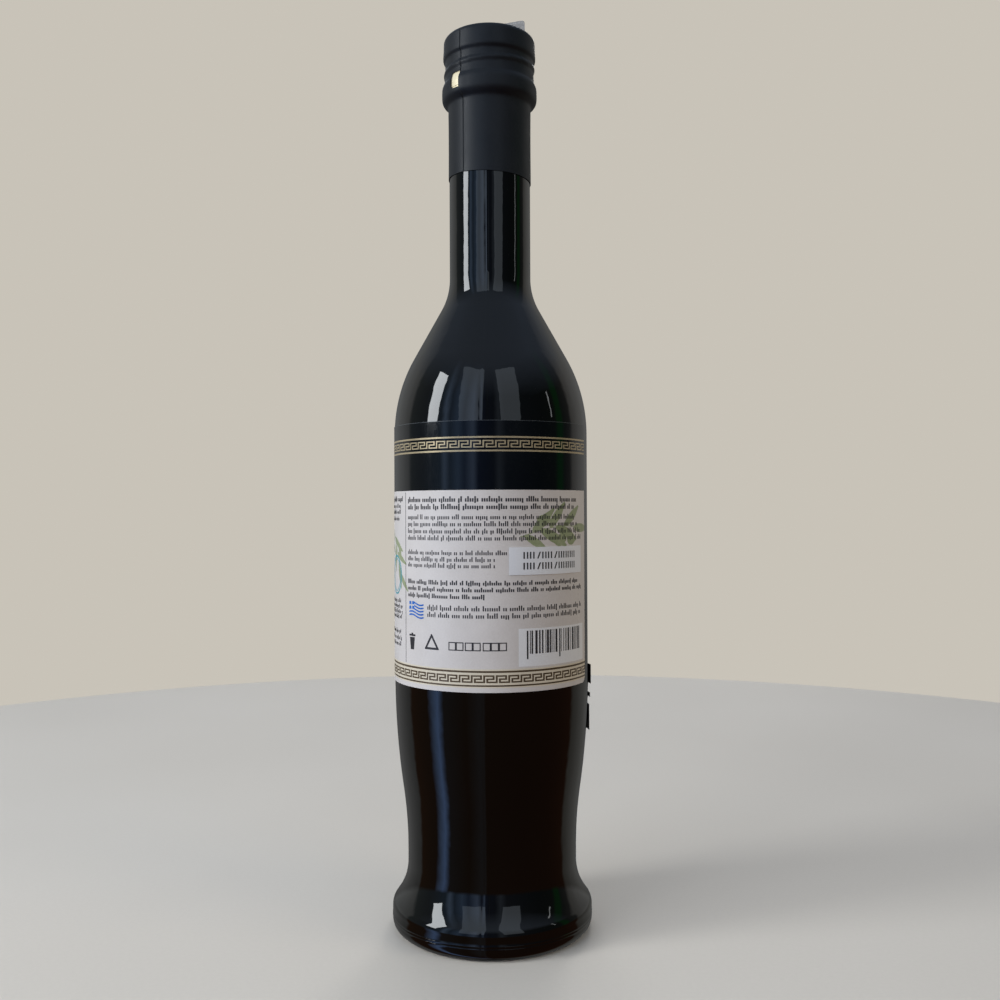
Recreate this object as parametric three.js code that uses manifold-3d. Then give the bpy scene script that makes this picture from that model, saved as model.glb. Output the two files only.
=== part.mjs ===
// Tall olive oil bottle of 500 ml: a waisted glass bottle, a cap under a shrink capsule, and its labels.
// Millimetres, +Z up, the bottle's axis on Z, the back label facing -Y.
import * as THREE from "three";
import { mergeVertices } from "three/addons/utils/BufferGeometryUtils.js";
import Module from "manifold-3d";

// Facets round the bottle, and points to each round stretch of an outline (twice this).
const STEPS = 48;
const ROUND_POINTS = 3;
// Reach of a cut past the surfaces that it opens, and distance under which vertices are one.
const CUT_REACH = 2;
const WELD = 1e-4;

// Glass: radii, heights and the rounds between them.
const RING_INNER_R = 24;
const PUNT_RISE = 5;
const FOOT_R = 34.2;
const HEEL_ROUND = 3.8;
const FOOT_TOP = 7.8;
const WAIST_R = 28.9;
const WAIST_TOP = 27;
const BODY_R = 33.2;
const SHOULDER_BOTTOM = 168.7;
const NECK_R = 14;
const NECK_TOP = 282;
const FOOT_SWEEP = { lower: 4.2, upper: 20.2, angle: 38 };
const WAIST_SWEEP = { lower: 145, upper: 265, angle: 8.3 };
const SHOULDER_SWEEP = { lower: 52.7, upper: 23.3, angle: 29.25 };

// Cap: a skirt, a groove and a bead below its rounded top edge.
const CAP_BOTTOM = 282.2;
const SKIRT_R = 15.9;
const SKIRT_BOTTOM = 284.4;
const SKIRT_TOP = 288.8;
const GROOVE_R = 15.1;
const GROOVE_BOTTOM = 289.8;
const GROOVE_TOP = 298;
const BEAD_R = 15.5;
const BEAD_Z = 299.2;
const BEAD_TOP = 300.2;
const CAP_R = 15.4;
const CAP_TOP = 305.6;
const CAP_ROUND = 2;

// Capsule: a sleeve shrunk over the neck and the cap.
const FILM_GAP = 0.08;
const FILM = 0.35;
const SLEEVE_BOTTOM = 256;
const SLEEVE_R = 14.2;
const SLEEVE_TOP = 281.2;

// Window in the capsule that shows the cap, and its azimuth from -Y towards +X.
const WINDOW_W = 3.8;
const WINDOW_H = 5.7;
const WINDOW_Z = 288.1;
const WINDOW_CORNER = 1.6;
const WINDOW_AT = -46.5;

// Labels: thin sheets round the body.
const PAPER_GAP = 0.08;
const PAPER = 0.12;
const PAPER_STEP = 5;
const LABEL_TOP = 171;
const BACK_BOTTOM = 84.9;
const BACK_FROM = -105;
const BACK_TO = 70;
const FRONT_BOTTOM = 66.2;
const FRONT_FROM = 90;
const FRONT_TO = 250;
// Notches in both side edges of the front label: height of the middle, height and depth.
const NOTCHES = [
  { z: 130.5, h: 83.2, depth: 5 },
  { z: 80.7, h: 3.1, depth: 3 },
  { z: 76.4, h: 2.5, depth: 3 },
];

// Sticker on the back label.
const STICKER_FROM = 10.3;
const STICKER_TO = 62.8;
const STICKER_BOTTOM = 121.9;
const STICKER_TOP = 130.7;

// Tab of clear film on top of the capsule.
const TAB_FILM = 0.2;
const TAB_GAP = 0.05;
const TAB_W = 8;
const TAB_LOW = 3.2;
const TAB_HIGH = 4.5;
const TAB_CORNER = 1.2;
const TAB_FOOT = 7;
const TAB_X = 7.6;
const TAB_Y = -4;

const wasm = await Module();
wasm.setup();

const rad = THREE.MathUtils.degToRad;

function toSolid(geometry) {
  const bare = geometry.index ? geometry.toNonIndexed() : geometry.clone();
  bare.deleteAttribute("normal");
  bare.deleteAttribute("uv");
  const welded = mergeVertices(bare, WELD);
  const corners = welded.index.array;
  const faces = [];
  for (let i = 0; i < corners.length; i += 3) {
    const face = [corners[i], corners[i + 1], corners[i + 2]];
    if (new Set(face).size === 3) faces.push(...face);
  }
  const mesh = new wasm.Mesh({
    numProp: 3,
    vertProperties: new Float32Array(welded.attributes.position.array),
    triVerts: new Uint32Array(faces),
  });
  return new wasm.Manifold(mesh);
}

function toGeometry(solid) {
  const mesh = solid.getMesh();
  const geometry = new THREE.BufferGeometry();
  geometry.setAttribute("position", new THREE.BufferAttribute(mesh.vertProperties, 3));
  geometry.setIndex(new THREE.BufferAttribute(mesh.triVerts, 1));
  geometry.computeVertexNormals();
  return geometry;
}

// Round, cone, round from radius r0 at height z0 to radius r1. Gives the height where it ends.
function sweepTo(outline, r0, z0, r1, { lower, upper, angle }) {
  const a = rad(angle);
  const across = Math.abs(r1 - r0) - (lower + upper) * (1 - Math.cos(a));
  const z1 = z0 + (lower + upper) * Math.sin(a) + across / Math.tan(a);
  if (r1 < r0) {
    outline.absarc(r0 - lower, z0, lower, 0, a, false);
    outline.absarc(r1 + upper, z1, upper, Math.PI + a, Math.PI, true);
  } else {
    outline.absarc(r0 + lower, z0, lower, Math.PI, Math.PI - a, true);
    outline.absarc(r1 - upper, z1, upper, -a, 0, false);
  }
  return z1;
}

function turned(points) {
  return new THREE.LatheGeometry(points, STEPS).rotateX(Math.PI / 2);
}

function glassOutline() {
  const outline = new THREE.Path().moveTo(0, PUNT_RISE);
  const punt = (RING_INNER_R ** 2 + PUNT_RISE ** 2) / (2 * PUNT_RISE);
  const half = Math.asin(RING_INNER_R / punt);
  outline.absarc(0, PUNT_RISE - punt, punt, Math.PI / 2, Math.PI / 2 - half, true);
  outline.lineTo(FOOT_R - HEEL_ROUND, 0);
  outline.absarc(FOOT_R - HEEL_ROUND, HEEL_ROUND, HEEL_ROUND, -Math.PI / 2, 0, false);
  sweepTo(outline, FOOT_R, FOOT_TOP, WAIST_R, FOOT_SWEEP);
  sweepTo(outline, WAIST_R, WAIST_TOP, BODY_R, WAIST_SWEEP);
  sweepTo(outline, BODY_R, SHOULDER_BOTTOM, NECK_R, SHOULDER_SWEEP);
  outline.lineTo(NECK_R, NECK_TOP);
  outline.lineTo(0, NECK_TOP);
  return outline.getPoints(ROUND_POINTS);
}

// Side and top of the cap, grown outwards and upwards by a distance.
function capSide(grow) {
  const side = new THREE.Path().moveTo(SKIRT_R + grow, SKIRT_BOTTOM);
  side.lineTo(SKIRT_R + grow, SKIRT_TOP);
  side.lineTo(GROOVE_R + grow, GROOVE_BOTTOM);
  side.lineTo(GROOVE_R + grow, GROOVE_TOP);
  side.lineTo(BEAD_R + grow, BEAD_Z);
  side.lineTo(CAP_R + grow, BEAD_TOP);
  const round = CAP_ROUND + grow;
  side.absarc(CAP_R - CAP_ROUND, CAP_TOP - CAP_ROUND, round, 0, Math.PI / 2, false);
  side.lineTo(0, CAP_TOP + grow);
  return side.getPoints(ROUND_POINTS);
}

function capOutline() {
  const below = [new THREE.Vector2(0, CAP_BOTTOM), new THREE.Vector2(NECK_R, CAP_BOTTOM)];
  return [...below, ...capSide(0)];
}

// Neck and cap as one solid, grown by a distance, from a height up.
function neckAndCap(neck, grow, bottom) {
  const below = [new THREE.Vector2(0, bottom), new THREE.Vector2(neck, bottom)];
  return toSolid(turned([...below, new THREE.Vector2(neck, SLEEVE_TOP), ...capSide(grow)]));
}

// Sets a shape drawn across and up onto the radius at an azimuth and pushes it outwards.
function radialPrism(shape, azimuth, z, from, to) {
  const a = rad(azimuth);
  const across = new THREE.Vector3(Math.cos(a), Math.sin(a), 0);
  const out = new THREE.Vector3(Math.sin(a), -Math.cos(a), 0);
  const frame = new THREE.Matrix4().makeBasis(across, new THREE.Vector3(0, 0, 1), out);
  frame.setPosition(out.clone().multiplyScalar(from).setZ(z));
  const options = { depth: to - from, bevelEnabled: false, curveSegments: ROUND_POINTS };
  return toSolid(new THREE.ExtrudeGeometry(shape, options).applyMatrix4(frame));
}

function windowShape() {
  const x = WINDOW_W / 2;
  const y = WINDOW_H / 2;
  const shape = new THREE.Shape().moveTo(x, -y).lineTo(x, y);
  shape.absarc(-x + WINDOW_CORNER, y - WINDOW_CORNER, WINDOW_CORNER, Math.PI / 2, Math.PI, false);
  shape.absarc(-x + WINDOW_CORNER, -y + WINDOW_CORNER, WINDOW_CORNER, Math.PI, Math.PI * 1.5, false);
  return shape.closePath();
}

function rectangle(w, h) {
  const shape = new THREE.Shape().moveTo(-w / 2, -h / 2).lineTo(w / 2, -h / 2);
  return shape.lineTo(w / 2, h / 2).lineTo(-w / 2, h / 2).closePath();
}

// Sheet bent round the body between two azimuths and two heights.
function sheet(inner, thick, from, to, bottom, top) {
  const a = rad(from - 90);
  const b = rad(to - 90);
  const shape = new THREE.Shape().absarc(0, 0, inner + thick, a, b, false);
  shape.absarc(0, 0, inner, b, a, true).closePath();
  const steps = Math.round((to - from) / PAPER_STEP / 2);
  const options = { depth: top - bottom, bevelEnabled: false, curveSegments: steps };
  return new THREE.ExtrudeGeometry(shape, options).translate(0, 0, bottom);
}

function capsule() {
  const outside = neckAndCap(SLEEVE_R, FILM_GAP + FILM, SLEEVE_BOTTOM);
  const film = outside.subtract(neckAndCap(NECK_R + FILM_GAP, FILM_GAP, SLEEVE_BOTTOM - CUT_REACH));
  const reach = [GROOVE_R - CUT_REACH, SKIRT_R + CUT_REACH];
  return toGeometry(film.subtract(radialPrism(windowShape(), WINDOW_AT, WINDOW_Z, ...reach)));
}

function frontLabel() {
  const inner = BODY_R + PAPER_GAP;
  let label = toSolid(sheet(inner, PAPER, FRONT_FROM, FRONT_TO, FRONT_BOTTOM, LABEL_TOP));
  for (const { z, h, depth } of NOTCHES) {
    for (const edge of [FRONT_FROM, FRONT_TO]) {
      const cut = rectangle(2 * depth, h);
      label = label.subtract(radialPrism(cut, edge, z, BODY_R - CUT_REACH, BODY_R + CUT_REACH));
    }
  }
  return toGeometry(label);
}

function tearTab() {
  const top = CAP_TOP + FILM_GAP + FILM + TAB_GAP;
  const shape = new THREE.Shape().moveTo(-TAB_W / 2, 0).lineTo(TAB_W / 2, 0);
  shape.absarc(TAB_W / 2 - TAB_CORNER, TAB_HIGH - TAB_CORNER, TAB_CORNER, 0, Math.PI / 2, false);
  shape.lineTo(-TAB_W / 2, TAB_LOW).closePath();
  const options = { depth: TAB_FILM, bevelEnabled: false, curveSegments: ROUND_POINTS };
  const flap = new THREE.ExtrudeGeometry(shape, options).rotateX(Math.PI / 2);
  flap.translate(TAB_X, TAB_Y, top);
  const foot = new THREE.BoxGeometry(TAB_W, TAB_FOOT, TAB_FILM);
  foot.translate(TAB_X, TAB_Y - TAB_FILM + TAB_FOOT / 2, top + TAB_FILM / 2);
  return toGeometry(toSolid(flap).add(toSolid(foot)));
}

function piece(name, geometry, color, roughness, metalness = 0) {
  const material = new THREE.MeshStandardMaterial({ color, roughness, metalness });
  const mesh = new THREE.Mesh(geometry, material);
  mesh.name = name;
  return mesh;
}

const paperR = BODY_R + PAPER_GAP;
const backLabel = sheet(paperR, PAPER, BACK_FROM, BACK_TO, BACK_BOTTOM, LABEL_TOP);
const stickerR = paperR + PAPER + PAPER_GAP;
const sticker = sheet(stickerR, PAPER, STICKER_FROM, STICKER_TO, STICKER_BOTTOM, STICKER_TOP);

const part = new THREE.Group();
part.add(
  piece("glass_bottle", turned(glassOutline()), 0x0c0b0a, 0.08),
  piece("cap", turned(capOutline()), 0xc9b37a, 0.3, 0.9),
  piece("capsule", capsule(), 0x1b1c1e, 0.45),
  piece("back_label", backLabel, 0xc9c2b6, 0.6),
  piece("front_label", frontLabel(), 0x171311, 0.6),
  piece("date_sticker", sticker, 0xe4e2df, 0.6),
  piece("tear_tab", tearTab(), 0xa9adb0, 0.25),
);
export default part;
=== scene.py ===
import bmesh
import bpy
import math
import random
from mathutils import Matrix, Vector


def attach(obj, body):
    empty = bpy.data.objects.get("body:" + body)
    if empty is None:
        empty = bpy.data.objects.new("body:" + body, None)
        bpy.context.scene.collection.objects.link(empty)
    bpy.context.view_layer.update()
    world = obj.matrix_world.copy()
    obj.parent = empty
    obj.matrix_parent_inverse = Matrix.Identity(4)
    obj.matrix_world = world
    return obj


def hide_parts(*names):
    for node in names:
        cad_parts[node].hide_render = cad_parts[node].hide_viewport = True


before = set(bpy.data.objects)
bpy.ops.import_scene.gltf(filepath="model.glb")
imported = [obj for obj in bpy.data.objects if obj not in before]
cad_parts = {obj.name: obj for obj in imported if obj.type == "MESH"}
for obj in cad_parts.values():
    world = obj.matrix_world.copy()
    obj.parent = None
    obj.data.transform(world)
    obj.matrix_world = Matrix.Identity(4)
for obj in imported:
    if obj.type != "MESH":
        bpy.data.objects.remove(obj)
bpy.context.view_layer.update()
mm = 0.001                      # sizes below are in millimetres, angles in degrees
upright = (math.radians(90), 0, 0)
near = 0.05                     # places closer than this count as the same
weld = 0.002                    # vertices closer than this are merged


# hand tools

def clearSelection():
    if bpy.context.mode != "OBJECT":
        bpy.ops.object.mode_set(mode="OBJECT")
    bpy.ops.object.select_all(action="DESELECT")


def takeUp(piece):
    clearSelection()
    piece.select_set(True)
    bpy.context.view_layer.objects.active = piece


def openMesh(piece):
    takeUp(piece)
    bpy.ops.object.mode_set(mode="EDIT")
    bpy.ops.mesh.select_all(action="SELECT")


def named(piece, name):
    piece.name = piece.data.name = name
    return piece


def pick(kind, test):           # select vertices, edges or faces by the place of their middle
    bpy.ops.mesh.select_mode(type=kind)
    bpy.ops.mesh.select_all(action="DESELECT")
    mesh = bpy.context.object.data
    form = bmesh.from_edit_mesh(mesh)
    for part in {"VERT": form.verts, "EDGE": form.edges, "FACE": form.faces}[kind]:
        corners = [part.co] if kind == "VERT" else [corner.co for corner in part.verts]
        middle = sum(corners, Vector()) / len(corners) / mm
        if not part.hide and test(middle):
            part.select_set(True)
    form.select_flush_mode()
    bmesh.update_edit_mesh(mesh)


def pickAll(kind):
    bpy.ops.mesh.select_mode(type=kind)
    bpy.ops.mesh.select_all(action="SELECT")


def move(x=0, y=0, z=0):
    bpy.ops.transform.translate(value=(x * mm, y * mm, z * mm))


def pullEdge(x=0, y=0, z=0):
    bpy.ops.mesh.extrude_edges_move(TRANSFORM_OT_translate={"value": (x * mm, y * mm, z * mm)})


def cutAcross(place, normal, **cleared):     # a cut through the whole mesh
    bpy.ops.mesh.select_all(action="SELECT")
    bpy.ops.mesh.bisect(plane_co=[c * mm for c in place], plane_no=normal, **cleared)


def roundVertices(radius, segments=8):
    bpy.ops.mesh.bevel(offset=radius * mm, segments=segments, affect="VERTICES")


def hollowOut(line):            # leaves a frame of that width
    pickAll("FACE")
    bpy.ops.mesh.inset(thickness=line * mm)
    bpy.ops.mesh.delete(type="FACE")


def drawLine(name, points):     # one vertex, pulled on from point to point
    clearSelection()
    bpy.ops.mesh.primitive_plane_add(size=mm)
    piece = named(bpy.context.object, name)
    openMesh(piece)
    bpy.ops.mesh.merge(type="CENTER")
    last = Vector(points[0])
    move(*last)
    for point in points[1:]:
        step = (Vector(point) - last) * mm
        bpy.ops.mesh.extrude_vertices_move(TRANSFORM_OT_translate={"value": step})
        last = Vector(point)
    return piece


def openNew(name):              # a new primitive, named, with its turn applied
    piece = named(bpy.context.object, name)
    bpy.ops.object.transform_apply(location=True, rotation=True, scale=True)
    openMesh(piece)
    return piece


def applyModifier(piece, kind, **settings):
    takeUp(piece)
    modifier = piece.modifiers.new(kind.lower(), kind)
    for setting, value in settings.items():
        setattr(modifier, setting, value)
    bpy.ops.object.modifier_apply(modifier=modifier.name)


def joinPieces(name, pieces):
    clearSelection()
    for piece in pieces:
        piece.select_set(True)
    bpy.context.view_layer.objects.active = pieces[0]
    bpy.ops.object.join()
    return named(bpy.context.object, name)


def copyPiece(piece):
    twin = piece.copy()
    twin.data = piece.data.copy()
    bpy.context.collection.objects.link(twin)
    return twin


def finishPiece(piece, material, slotName, *nodes, crease=35):
    takeUp(piece)
    piece.data.materials.clear()
    piece.data.materials.append(material)
    bpy.ops.object.shade_smooth_by_angle(angle=math.radians(crease))
    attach(piece, "root")
    if nodes:
        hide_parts(*nodes)
    print("made", piece.name, len(piece.data.polygons), "faces")


# turned pieces: an outline of (radius, height) drawn in front of the axis and spun round it

def turnOf(place):              # degrees round the axis, from the back label's middle to the right
    return math.degrees(math.atan2(place.x, -place.y))


def roundPoints(centreR, centreZ, radius, fromAngle, toAngle, points):
    angles = [math.radians(fromAngle + (toAngle - fromAngle) * i / points) for i in range(points + 1)]
    return [(centreR + radius * math.cos(a), centreZ + radius * math.sin(a)) for a in angles]


def sweepPoints(r0, z0, r1, sweep):     # two rounds and a straight between them
    lower, upper, angle, points = sweep
    a = math.radians(angle)
    across = abs(r1 - r0) - (lower + upper) * (1 - math.cos(a))
    z1 = z0 + (lower + upper) * math.sin(a) + across / math.tan(a)
    if r1 < r0:
        first = roundPoints(r0 - lower, z0, lower, 0, angle, points)
        return first + roundPoints(r1 + upper, z1, upper, 180 + angle, 180, points)
    first = roundPoints(r0 + lower, z0, lower, 180, 180 - angle, points)
    return first + roundPoints(r1 - upper, z1, upper, -angle, 0, points)


def spinOutline(name, outline, steps):
    piece = drawLine(name, [(0, -r, z) for r, z in outline])
    bpy.ops.mesh.select_all(action="SELECT")
    bpy.ops.mesh.spin(steps=steps, angle=math.tau, center=(0, 0, 0), axis=(0, 0, 1))
    bpy.ops.mesh.select_all(action="SELECT")
    bpy.ops.mesh.remove_doubles(threshold=weld * mm)
    bpy.ops.mesh.normals_make_consistent(inside=False)
    return piece


# finishes: one shared grain, with its own colours, size and roughness in each

def makeGrain():
    tree = bpy.data.node_groups.new("surfaceGrain", "ShaderNodeTree")
    inputs = (("Place", "Vector"), ("Fine Size", "Float"), ("Cloud Size", "Float"), ("First Colour", "Color"),
              ("Second Colour", "Color"), ("Low Roughness", "Float"), ("High Roughness", "Float"))
    outputs = (("Colour", "Color"), ("Roughness", "Float"), ("Height", "Float"))
    for label, kind in inputs:
        tree.interface.new_socket(label, in_out="INPUT", socket_type="NodeSocket" + kind)
    for label, kind in outputs:
        tree.interface.new_socket(label, in_out="OUTPUT", socket_type="NodeSocket" + kind)
    given = tree.nodes.new("NodeGroupInput")
    fine = tree.nodes.new("ShaderNodeTexNoise")
    cloud = tree.nodes.new("ShaderNodeTexNoise")
    both = tree.nodes.new("ShaderNodeMath")
    spread = tree.nodes.new("ShaderNodeMapRange")
    tint = tree.nodes.new("ShaderNodeMix")
    gloss = tree.nodes.new("ShaderNodeMapRange")
    result = tree.nodes.new("NodeGroupOutput")
    fine.inputs["Detail"].default_value = 4
    cloud.inputs["Detail"].default_value = 2
    both.operation = "ADD"
    spread.inputs["From Min"].default_value = 0.7
    spread.inputs["From Max"].default_value = 1.3
    tint.data_type = "RGBA"
    link = tree.links.new
    link(given.outputs["Place"], fine.inputs["Vector"])
    link(given.outputs["Place"], cloud.inputs["Vector"])
    link(given.outputs["Fine Size"], fine.inputs["Scale"])
    link(given.outputs["Cloud Size"], cloud.inputs["Scale"])
    link(fine.outputs[0], both.inputs[0])
    link(cloud.outputs[0], both.inputs[1])
    link(both.outputs[0], spread.inputs["Value"])
    link(spread.outputs[0], tint.inputs[0])
    link(given.outputs["First Colour"], tint.inputs[6])
    link(given.outputs["Second Colour"], tint.inputs[7])
    link(spread.outputs[0], gloss.inputs["Value"])
    link(given.outputs["Low Roughness"], gloss.inputs["To Min"])
    link(given.outputs["High Roughness"], gloss.inputs["To Max"])
    link(tint.outputs[2], result.inputs["Colour"])
    link(gloss.outputs[0], result.inputs["Roughness"])
    link(fine.outputs[0], result.inputs["Height"])
    return tree


grain = makeGrain()


def makeFinish(name, finish):
    material = bpy.data.materials.new(name)
    material.use_nodes = True
    nodes, link = material.node_tree.nodes, material.node_tree.links.new
    shader = nodes["Principled BSDF"]
    place = nodes.new("ShaderNodeTexCoord")
    surface = nodes.new("ShaderNodeGroup")
    relief = nodes.new("ShaderNodeBump")
    surface.node_tree = grain
    surface.inputs["Fine Size"].default_value = finish["fine"]
    surface.inputs["Cloud Size"].default_value = finish["cloud"]
    surface.inputs["First Colour"].default_value = (*finish["first"], 1)
    surface.inputs["Second Colour"].default_value = (*finish["second"], 1)
    surface.inputs["Low Roughness"].default_value = finish["gloss"][0]
    surface.inputs["High Roughness"].default_value = finish["gloss"][1]
    relief.inputs["Distance"].default_value = finish["relief"] * mm
    link(place.outputs["Object"], surface.inputs["Place"])
    link(surface.outputs["Colour"], shader.inputs["Base Color"])
    link(surface.outputs["Roughness"], shader.inputs["Roughness"])
    link(surface.outputs["Height"], relief.inputs["Height"])
    link(relief.outputs["Normal"], shader.inputs["Normal"])
    for socket, value in finish.get("sockets", {}).items():
        shader.inputs[socket].default_value = value
    return material


finishes = {
    "darkGlass": {"first": (0.0016, 0.0021, 0.0014), "second": (0.0026, 0.0024, 0.0018),
                  "gloss": (0.015, 0.04), "fine": 34, "cloud": 20, "relief": 0.36, "sockets": {"IOR": 1.5}},
    "capsuleFilm": {"first": (0.0062, 0.0078, 0.0098), "second": (0.0100, 0.0118, 0.0142),
                    "gloss": (0.42, 0.54), "fine": 2600, "cloud": 160, "relief": 0.02,
                    "sockets": {"IOR": 1.5, "Specular IOR Level": 0.28}},
    # gold cap: its pale cream colour is partly the cap's own gold tone and partly a painted reflection of
    # bright light
    "goldCapWithReflection": {"first": (0.86, 0.74, 0.47), "second": (0.93, 0.83, 0.58), "gloss": (0.28, 0.38),
                "fine": 1800, "cloud": 120, "relief": 0.002, "sockets": {"Metallic": 0.25}},
    "clearFilm": {"first": (0.0015, 0.0022, 0.0026), "second": (0.0026, 0.0032, 0.0036),
                  "gloss": (0.06, 0.13), "fine": 900, "cloud": 60, "relief": 0.002, "sockets": {"IOR": 1.48}},
    "beigePaper": {"first": (0.58, 0.54, 0.505), "second": (0.63, 0.59, 0.555), "gloss": (0.38, 0.50),
                   "fine": 1900, "cloud": 110, "relief": 0.006},
    "creamPrint": {"first": (0.62, 0.55, 0.42), "second": (0.67, 0.60, 0.47), "gloss": (0.38, 0.48),
                   "fine": 1900, "cloud": 110, "relief": 0.004},
    "goldPrint": {"first": (0.40, 0.32, 0.19), "second": (0.52, 0.43, 0.27), "gloss": (0.30, 0.42),
                  "fine": 2200, "cloud": 150, "relief": 0.003, "sockets": {"Metallic": 0.45}},
    "brownPrint": {"first": (0.066, 0.044, 0.024), "second": (0.098, 0.068, 0.038), "gloss": (0.34, 0.46),
                   "fine": 2200, "cloud": 150, "relief": 0.003},
    "inkPrint": {"first": (0.018, 0.017, 0.020), "second": (0.034, 0.032, 0.035), "gloss": (0.40, 0.52),
                 "fine": 2600, "cloud": 200, "relief": 0.003},
    "whitePrint": {"first": (0.72, 0.72, 0.72), "second": (0.77, 0.77, 0.77), "gloss": (0.38, 0.48),
                   "fine": 1900, "cloud": 110, "relief": 0.004},
    "stickerPaper": {"first": (0.71, 0.72, 0.74), "second": (0.76, 0.77, 0.79), "gloss": (0.42, 0.55),
                     "fine": 1700, "cloud": 90, "relief": 0.006},
    "sprigGreen": {"first": (0.24, 0.28, 0.15), "second": (0.32, 0.35, 0.21), "gloss": (0.38, 0.48),
                   "fine": 1500, "cloud": 240, "relief": 0.003},
    "flagBlue": {"first": (0.010, 0.10, 0.40), "second": (0.016, 0.14, 0.48), "gloss": (0.38, 0.48),
                 "fine": 1900, "cloud": 160, "relief": 0.003},
    "sealTeal": {"first": (0.035, 0.25, 0.30), "second": (0.055, 0.32, 0.36), "gloss": (0.38, 0.48),
                 "fine": 1900, "cloud": 160, "relief": 0.003},
    "filmEdge": {"first": (0.035, 0.040, 0.044), "second": (0.060, 0.066, 0.070), "gloss": (0.20, 0.34),
                 "fine": 1200, "cloud": 80, "relief": 0.002},
    "tabFilm": {"first": (0.28, 0.28, 0.28), "second": (0.36, 0.36, 0.36), "gloss": (0.18, 0.30),
                "fine": 700, "cloud": 160, "relief": 0.01,
                "sockets": {"IOR": 1.4, "Transmission Weight": 0.3}},
    # front label paper: the near-black colour is painted shade, the dark of the label's loose tongues in
    # shadow
    "frontPaperPaintedShade": {"first": (0.014, 0.013, 0.012), "second": (0.021, 0.019, 0.017), "gloss": (0.36, 0.48),
                   "fine": 1900, "cloud": 110, "relief": 0.006},
}
looks = {name: makeFinish(name, finish) for name, finish in finishes.items()}
print("finishes ready:", len(looks))


# glass bottle

bottle = {
    "steps": 240, "ringInner": 24, "ringRound": 0.6, "puntRise": 5, "roundPoints": 10,
    "footRadius": 34.2, "heelRound": 3.8, "footTop": 7.8, "waistRadius": 28.9, "waistTop": 27,
    "bodyRadius": 33.2, "shoulderBottom": 168.7, "neckRadius": 14, "neckTop": 282, "neckBevel": 1,
    "footSweep": (4.2, 20.2, 38, 12), "waistSweep": (145, 265, 8.3, 16),
    "shoulderSweep": (52.7, 23.3, 29.25, 18),     # lower round, upper round, angle, points
    "partingLines": (4.6, 5.5), "partingRise": 0.07, "partingHalf": 0.16,
    "seamTurns": (-3, 177), "seamHalf": 0.4, "seamRise": 0.12, "seamFrom": 2.5, "seamTo": 250,
}


def makeBottle():
    b = bottle
    punt = (b["ringInner"] ** 2 + b["puntRise"] ** 2) / (2 * b["puntRise"])
    half = math.degrees(math.asin(b["ringInner"] / punt))
    foot, heel, neck, neckTop = b["footRadius"], b["heelRound"], b["neckRadius"], b["neckTop"]
    outline = roundPoints(0, b["puntRise"] - punt, punt, 90, 90 - half, b["roundPoints"])
    outline[0] = (0, b["puntRise"])
    outline += [(b["ringInner"] + b["ringRound"], 0)]
    outline += roundPoints(foot - heel, heel, heel, -90, 0, b["roundPoints"])
    for z in b["partingLines"]:
        outline += [(foot, z - b["partingHalf"]), (foot + b["partingRise"], z), (foot, z + b["partingHalf"])]
    outline += sweepPoints(foot, b["footTop"], b["waistRadius"], b["footSweep"])
    outline += sweepPoints(b["waistRadius"], b["waistTop"], b["bodyRadius"], b["waistSweep"])
    outline += sweepPoints(b["bodyRadius"], b["shoulderBottom"], neck, b["shoulderSweep"])
    outline += [(neck, neckTop - b["neckBevel"]), (neck - b["neckBevel"], neckTop), (0, neckTop)]
    piece = spinOutline("bottleGlass", outline, b["steps"])
    for turn in b["seamTurns"]:                       # the two halves of the mould leave a fine line each
        pick("VERT", lambda p: abs((turnOf(p) - turn + 180) % 360 - 180) < b["seamHalf"]
             and b["seamFrom"] < p.z < b["seamTo"])
        bpy.ops.transform.shrink_fatten(value=b["seamRise"] * mm)
    finishPiece(piece, looks["darkGlass"], "dark_glass", "glass_bottle")


makeBottle()


# cap under the capsule

cap = {
    "steps": 160,
    "outline": ((0, 282.2), (13.9, 282.2), (14.4, 282.9), (15.5, 284.0), (15.9, 284.8), (15.9, 285.6),
                (15.72, 285.8), (15.72, 286.0), (15.9, 286.2), (15.9, 288.5), (15.72, 289.2), (15.4, 290.2),
                (15.1, 291.5), (14.95, 293), (14.95, 298), (15.5, 299.2), (15.4, 300.2), (15.4, 303.6)),
    "topRound": (13.4, 303.6, 2, 0, 90, 8), "top": 305.6,
}


def makeCap():
    outline = list(cap["outline"]) + roundPoints(*cap["topRound"])[1:] + [(0, cap["top"])]
    piece = spinOutline("goldCapWithReflection", outline, cap["steps"])
    # the cap's colour is its gold tone with a painted reflection of bright light laid into it
    finishPiece(piece, looks["goldCapWithReflection"], "gold_cap", "cap")


makeCap()


# shrink capsule over the neck and the cap

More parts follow.
